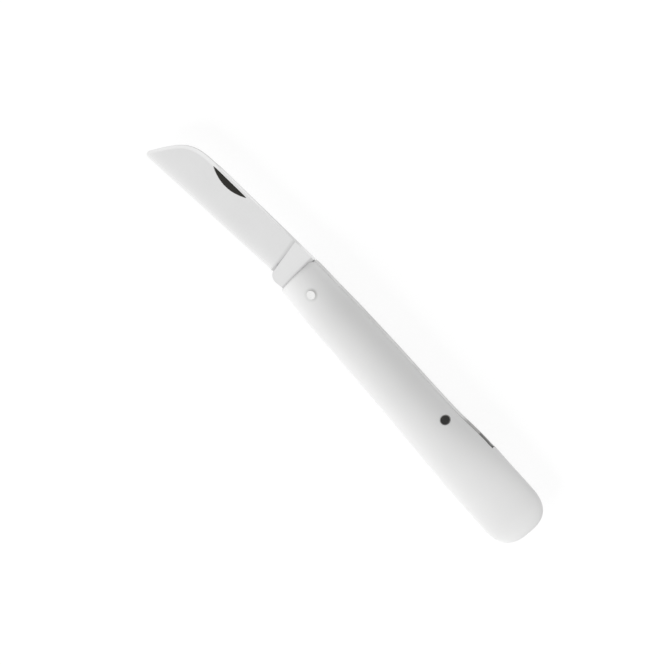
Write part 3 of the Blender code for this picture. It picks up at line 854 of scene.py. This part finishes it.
def makeBlade():
    # Each row runs from the edge to the spine through fixed lines: bevel, nick, shoulder or
    # chamfer, the nick's wall and the rounded corner. The half thickness is worked out on them.
    look = bladeLook
    rows = bladeRows()[:, None]
    low, high = lowerLine(rows), upperLine(rows)
    width = high - low
    leaning = ramp(rows, *look.leanIn) * (1 - ramp(rows, *look.leanOut))
    dropping = 1 - ramp(rows - dropStart, *look.dropFade)
    inRicasso = ramp(rows, *look.heelFade)
    roundness = look.edgeRound * (1 - ramp(rows, *look.roundFade))

    # the row's lines, as distances up from the lower outline or down from the upper one
    least, most = look.leastGaps, look.mostShares
    shoulder = look.grindShoulder / spineCos
    shoulder = shoulder + (high - spineY(rows)) * (rows > dropStart - look.dropReach)
    chamfer = towards(np.maximum(shoulder, look.shoulderLeast),
                      look.chamferWidth * dropStretch(rows), dropping)
    bevel = towards(look.bevelWidth, roundness + least["bevel"], inRicasso)
    bevel = np.minimum(bevel, most["bevel"] * width)
    corner = np.minimum(roundness + least["corner"], most["corner"] * width)
    wall = np.maximum(look.nickBelow / spineCos, corner + least["wall"])
    wall = np.minimum(wall, most["wall"] * width)
    topGap = np.maximum(np.where(rows < dropStart, chamfer, shoulder), wall + least["top"])
    topGap = np.minimum(topGap, most["top"] * width)
    nickLow = np.minimum(np.maximum(look.nickFoot, topGap + least["nick"]), most["nick"] * width)
    lines = [low, low + bevel, high - nickLow, high - topGap, high - wall - look.wallStrip,
             high - wall, high - corner, high]
    columns = [low]
    for band, count in enumerate(look.bandColumns):
        share = evenShares(count)[1:]
        if lines[band + 1] is high:
            share = np.sin(share * np.pi / 2)
        columns.append(towards(lines[band], lines[band + 1], share))
    y = np.concatenate(columns, 1)

    # one column bends down to the corner where the tang's top flat meets the shoulder
    flat, number = look.tangFlat, np.arange(y.shape[1])
    cornerColumn = int(np.argmin(np.abs(y[-1] - flat)))
    at = y[:, [cornerColumn]]
    below = low + (y - low) * (flat - low) / (at - low)
    above = high - (high - y) * (high - flat) / (high - at)
    bent = np.where(number <= cornerColumn, below, above)
    y = towards(y, bent, ramp(rows, look.bendStart, look.shoulderPlace))
    x = rows - leanTan * leaning * (y - low)
    # the leaning rows keep to the outlines, which are straight there
    y = y + (x - rows) * np.where(y > (low + high) / 2, spineTan, edgeTan * (1 - inRicasso))

    ground, halfEdge = groundHalf(x, y), look.edgeWidth / 2
    bevelTop, topFoot = look.bandColumns[0], sum(look.bandColumns[:3])
    onBevel = np.clip((y - y[:, :1]) / np.maximum(bevel, tiny), 0, 1)
    ground = np.where(number <= bevelTop, towards(halfEdge, ground[:, [bevelTop]], onBevel), ground)
    foot, footY = ground[:, [topFoot]], y[:, [topFoot]]
    outer = ground[:, [-1]] * (1 - (1 - look.chamferShare) * dropping)
    up = np.clip((y - footY) / np.maximum(y[:, [-1]] - footY, tiny), 0, 1)
    chamfered = towards(ground, towards(foot, outer, up), dropping)
    ground = np.where((number > topFoot) & (dropping > 0), chamfered, ground)
    thick = plungeHalf(x, y, ground)
    # rounded corners along the spine, and along the underside of the kick
    turn = np.clip((y - (y[:, [-1]] - corner)) / corner, 0, 1)
    thick = thick - corner * quarterFall(turn) * (thick > look.roundLeast)
    turn = np.where((number <= bevelTop) & (pastPlunge(x, y) >= 0), 1 - onBevel, 0)
    thick = np.maximum(thick - roundness * inRicasso * quarterFall(turn), halfEdge)
    top, bottom = gridFrom(x, y, np.minimum(thick, nickHeight(x, y))), gridFrom(x, y, -thick)

    shares = (y[-1, :cornerColumn + 1] - y[-1, 0]) / (y[-1, cornerColumn] - y[-1, 0])
    rims = [stripBetween(top[part], bottom[part]) for part in (
        np.s_[:, 0], np.s_[:, -1], np.s_[0], np.s_[-1, cornerColumn:])]
    blade = weldGrids("bladeGround", [top, bottom] + rims + tangGrids(shares), look.crease)
    boreHoles(blade, [(0, 0, look.tangHole)], look.crease)
    markPoints(blade, "bladeTone", bladeTone)
    markPoints(blade, "polished", lambda x, y, z: (x < heelX)
               * (1 - ramp(y - lowerLine(x) - look.bevelWidth, *look.polishFade)))
    cut, sunk = look.nickShade
    markPoints(blade, "nickShade", lambda x, y, z: (groundHalf(x, y) - nickHeight(x, y) > cut)
               & (z > 0) & (bladeHalf - z > sunk))
    return blade


def satinBladeSteel():
    # Ground steel: its grey from the mark, with its painted light and shade, lines across the blade,
    # and painted shade in the nail nick.
    look = bladeLook
    turn = -math.radians(look.spineSlope)
    material, tree, place, masks = startMaterial("satinBladeSteel", look, turn)
    masks["Polished"], masks["Nick"] = readMark(tree, "polished"), readMark(tree, "nickShade")
    grain = weighted(tree, masks, look.grain, look.grainWeights)
    base = mathNode(tree, "MULTIPLY", readMark(tree, "bladeTone"), grain)
    return finishMaterial(material, masks, look, base)


dress(makeBlade(), satinBladeSteel(), "blade_body", "blade")
print("blade ground")


springLook = Values(
    # leaf
    frontReach=7.05, innerHeight=5.2, straightReach=14.0, thickReach=44.0,
    seatHeight=3.3, fallStart=58.0, tailReach=64.5, tailHeight=9.7, sunk=0.25,
    tailCorner=0.4, edgeRound=0.12, pinHole=1.55, rows=(130, 36, 4), roundColumns=3,
    # finish
    # painted shade on the sunk tail fades in over this stretch
    grimeFade=(-1.5, 2.0),
    marks=(150.0, 2600.0),
    lines=(2200.0, (0.03, 1.0, 1.0), 0.3),
    mixedBy="Lines", colours=((0.60, 0.60, 0.597), (0.68, 0.68, 0.677)),
    # the second tint is painted shade on the sunk tail
    tints=(("Smudge", 0.5, (0.55, 0.55, 0.545)), ("PaintedShade", 0.9, (0.33, 0.325, 0.32))),
    roughness=0.28, roughWeights={"Lines": 0.16, "Smudge": 0.12},
    bump=0.12, bumpDepth=0.00003, bumpWeights={"Lines": 0.8, "Grain": 0.2},
)


def makeSpring():
    # A rounded rectangle carried along the leaf. Its inner line goes down to the seat along half a
    # cosine. Its outer line lies just below the handle's back and drops straight to the tail.
    look = springLook
    fallStart, tailStart = look.fallStart, look.tailReach - look.tailCorner
    stops = [-look.frontReach, fallStart, tailStart, look.tailReach]
    x = np.unique(np.concatenate([np.linspace(*run) for run in zip(stops, stops[1:], look.rows)]))
    t = np.clip((x - look.straightReach) / (look.thickReach - look.straightReach), 0, 1)
    inner = towards(look.innerHeight, look.seatHeight, (1 - np.cos(np.pi * t)) / 2)
    fall = [float(backLine(fallStart)) - look.sunk, look.tailHeight]
    outer = np.where(x <= fallStart, backLine(x) - look.sunk, np.interp(x, stops[1:3], fall))
    tail = np.maximum(x - tailStart, 0)
    inner, outer = (inner + tail)[:, None], (outer - tail)[:, None]
    # corner points of the section: sideways place, and how far it lies in from the face
    radius, turns = look.edgeRound, quarterTurns(look.roundColumns)
    side = bladeHalf - radius + radius * np.sin(turns)
    into = radius * (1 - np.cos(turns))
    z = np.r_[side, side[::-1], -side, -side[::-1]]
    y = np.concatenate([outer - into, inner + into[::-1], inner + into, outer - into[::-1]], 1)
    ring = gridFrom(x[:, None], y, z)
    spring = weldGrids("backSpringLeaf", [np.concatenate([ring, ring[:, :1]], 1)])
    boreHoles(spring, [(pinPlace[0], pinPlace[1], look.pinHole)])
    # painted shade on the tail, sunk into the pocket
    markPoints(spring, "tailShade", lambda x, y, z: ramp(x - fallStart, *look.grimeFade))
    return spring


def springSteel():
    # Plain ground leaf: lines along its length, duller and greyer than the blade, with painted shade
    # on the tail where it sinks into the pocket.
    material, tree, place, masks = startMaterial("springSteel", springLook)
    masks["PaintedShade"] = readMark(tree, "tailShade")
    return finishMaterial(material, masks, springLook)


dress(makeSpring(), springSteel(), "spring_body", "back_spring")
print("spring cut")


rivetLook = Values(
    # turned profile
    shank=1.1, head=1.35, headHeight=0.3, skirt=0.22, rimRound=0.07,
    rimStart=0.35, rimDrop=0.01, domeRows=16, rimRows=6,
    # finish
    marks=(500.0, 4000.0),
    ringScale=0.9,
    mixedBy="Rings", colours=((0.83, 0.83, 0.825), (0.89, 0.89, 0.885)),
    tints=(("Smudge", 0.2, (0.74, 0.74, 0.735)),),
    roughness=0.20, roughWeights={"Rings": 0.06, "Smudge": 0.10},
    bump=0.12, bumpDepth=0.00003, bumpWeights={"Rings": 0.4, "Grain": 0.3},
)


def makeRivet():
    # A turned profile: a low spherical dome with a small rounded rim, seated on each side.
    look = rivetLook
    ball = (look.head ** 2 + look.headHeight ** 2) / (2 * look.headHeight)
    dome = np.linspace(0, math.asin((look.head - look.rimRound) / ball), look.domeRows)
    turns = np.linspace(look.rimStart, np.pi / 2, look.rimRows)
    domeTop = rivetTop - ball * (1 - np.cos(dome))
    rimTop = domeTop[-1] - look.rimRound * (1 - np.cos(turns)) - look.rimDrop
    rim = look.head - look.rimRound * (1 - np.sin(turns))
    bottom = rivetTop - look.headHeight - look.skirt
    radius = np.r_[ball * np.sin(dome), rim, look.head, look.shank]
    height = np.r_[domeTop, rimTop, bottom, bottom]
    grid = turnedGrid(np.r_[radius, radius[::-1]], np.r_[height, -height[::-1]], meshLook.turnSteps)
    return weldGrids("pivotRivetHead", [grid])


def brightRivetSteel():
    # Bright head, with the rings of the tool that set it and small dents.
    look = rivetLook
    material, tree, place, masks = startMaterial("brightRivetSteel", look)
    rings = addNode(tree, "TexWave", {"Vector": fromAxis(tree, place, pivotPlace)[0]},
                    wave_type="RINGS", rings_direction="Z",
                    Scale=look.ringScale, Distortion=1.2, Detail=2.0)
    masks["Rings"] = rings.outputs["Fac"]
    return finishMaterial(material, masks, look)


dress(makeRivet(), brightRivetSteel(), "handle_body", "pivot_rivet")
print("rivet set")


pinLook = Values(
    # rod
    radius=1.5, sunk=0.03, edgeRound=0.1, flatRows=13, rimRows=5, sideColumns=8,
    # finish
    marks=(450.0, 3500.0),
    lines=(3000.0, (1.0, 0.06, 1.0), 0.4),
    mixedBy="Lines", colours=((0.026, 0.026, 0.025), (0.050, 0.050, 0.048)),
    wornRim=(1.27, 1.37),
    tints=(
        ("Smudge", 0.4, (0.065, 0.063, 0.060)), ("Scratches", 0.5, (0.14, 0.14, 0.135)),
        ("PaleRim", 1.0, (0.30, 0.295, 0.29)),
    ),
    roughness=0.42, roughWeights={"Lines": 0.15, "Smudge": 0.12},
    bump=0.12, bumpDepth=0.00003, bumpWeights={"Lines": 0.7, "Grain": 0.3},
)


def makePin():
    # A rod whose ends follow the handle's skin, a hair below it, with a small rounded rim.
    look = pinLook
    inner = look.radius - look.edgeRound
    flat = np.linspace(0, inner, look.flatRows + 1)
    turns = quarterTurns(look.rimRows)[1:]
    radius = np.r_[flat, inner + look.edgeRound * np.sin(turns)]
    drop = np.r_[0 * flat, look.edgeRound * (1 - np.cos(turns))]
    end = turnedGrid(radius, -look.sunk - drop, meshLook.turnSteps)
    end = end + np.array([pinPlace[0], pinPlace[1], 0])
    end[..., 2] += handleTop(end[..., 0], end[..., 1])
    other = mirrored(end)
    side = stripBetween(end[-1], other[-1], look.sideColumns)
    return weldGrids("springPinRod", [end, side, other])


def darkPinSteel():
    # Dark rod end with the faint scratches of grinding it flush, and a paler rim.
    look = pinLook
    material, tree, place, masks = startMaterial("darkPinSteel", look)
    away = fromAxis(tree, place, pivotPlace + pinPlace)[1]
    masks["PaleRim"] = mapRange(tree, away, *look.wornRim)
    return finishMaterial(material, masks, look)


dress(makePin(), darkPinSteel(), "handle_body", "spring_pin")
print("pin ground flush")


studio = Values(
    worldLevel=0.42, floorSize=3.0, floorDrop=0.0002,
    floorPlain=0.88, floorDiffuse=0.25, floorGlow=0.82,
    # name, power, size and place: the key stands low on the belly's side, the fill over the back
    panels=(
        ("keyPanel", 4.70, 0.55, (0.10, -0.742, 0.355)),
        ("fillPanel", 1.66, 0.55, (0.20, 0.453, 0.665)),
    ),
)


def emptyTree(owner):
    owner.use_nodes = True
    owner.node_tree.nodes.clear()
    return owner.node_tree


def seenDirectly(tree):
    # 1 for what the camera sees, straight, mirrored or through glass, and 0 for other light.
    path = addNode(tree, "LightPath").outputs
    seen = mathNode(tree, "MAXIMUM", path["Is Camera Ray"], path["Is Glossy Ray"])
    return mathNode(tree, "MAXIMUM", seen, path["Is Transmission Ray"])


def makeFloor():
    # A plain pale sheet. To the camera and in reflections it is white, and keeps a soft shadow.
    size, height = studio.floorSize, -studio.floorDrop
    corners = ((-size, -size), (size, -size), (size, size), (-size, size))
    mesh = bpy.data.meshes.new("studioFloor")
    mesh.from_pydata([(*corner, height) for corner in corners], [], [(0, 1, 2, 3)])
    material = bpy.data.materials.new("palePaper")
    tree = emptyTree(material)
    plain, soft = (addNode(tree, "BsdfDiffuse", Color=(studio[name],) * 3 + (1,))
                   for name in ("floorPlain", "floorDiffuse"))
    glow = addNode(tree, "Emission", Strength=studio.floorGlow)
    white = addNode(tree, "AddShader", {0: soft.outputs[0], 1: glow.outputs[0]})
    either = addNode(tree, "MixShader",
                     {0: seenDirectly(tree), 1: plain.outputs[0], 2: white.outputs[0]})
    addNode(tree, "OutputMaterial", {"Surface": either.outputs[0]})
    mesh.materials.append(material)
    floor = addObject("studioFloor", mesh)


def makeWorld():
    # White to the camera and in metal, and a plain dimmer grey as a light.
    world = bpy.data.worlds.new("softRoom")
    bpy.context.scene.world = world
    tree = emptyTree(world)
    level = mapRange(tree, seenDirectly(tree), 0.0, 1.0, studio.worldLevel, 1.0)
    light = addNode(tree, "Background", {"Strength": level}, Color=(1, 1, 1, 1))
    addNode(tree, "OutputWorld", {"Surface": light.outputs[0]})


def makePanel(name, power, size, place):
    # A large soft square lamp that faces the knife.
    lamp = bpy.data.lights.new(name, "AREA")
    lamp.shape, lamp.size, lamp.energy = "SQUARE", size, power
    panel = addObject(name, lamp)
    panel.visible_glossy = False  # metal mirrors the plain room alone
    panel.location = place
    panel.rotation_mode = "QUATERNION"
    panel.rotation_quaternion = (-Vector(place)).to_track_quat("-Z", "Y")


cameraView = Values(
    picture=665, mmPerPixel=0.3, lens=150.0, sensor=36.0, tilt=20.0,
    knifeRun=(211.5, 240.0), pivotPixel=(310.5, 295.5), headHeight=5.11,
    clip=(0.01, 20),
)


def makeCamera():
    # Looks over the knife's back, tilted from straight above. The pivot's head falls on its pixel,
    # and the scale holds at the knife's mid plane.
    look = cameraView
    angle = math.atan2(look.knifeRun[1], look.knifeRun[0])
    tilt = math.radians(look.tilt)
    along = np.array([1.0, 0, 0])
    overBack = np.array([0, math.cos(tilt), -math.sin(tilt)])
    right = math.cos(angle) * along + math.sin(angle) * overBack
    up = -math.sin(angle) * along + math.cos(angle) * overBack
    back = np.cross(right, up)
    distance = look.picture * look.mmPerPixel * look.lens / look.sensor
    near = (distance - look.headHeight * back[2]) / distance
    across, down = ((look.picture / 2 - pixel) * look.mmPerPixel for pixel in look.pivotPixel)
    target = pivotPlace + np.array([0, 0, look.headHeight]) + near * (across * right - down * up)
    target = target - back * ((target - pivotPlace) @ back)
    spot = (target + back * distance) * mm
    data = bpy.data.cameras.new("photoCamera")
    data.lens, data.sensor_width = look.lens, look.sensor
    data.clip_start, data.clip_end = look.clip
    camera = addObject("photoCamera", data)
    turn = Matrix((right, up, back)).transposed().to_4x4()
    camera.matrix_world = Matrix.Translation(Vector(spot)) @ turn
    bpy.context.scene.camera = camera


makeFloor()
makeWorld()
for panel in studio.panels:
    makePanel(*panel)
makeCamera()
bpy.context.scene.view_settings.view_transform = "Standard"
print("studio set")
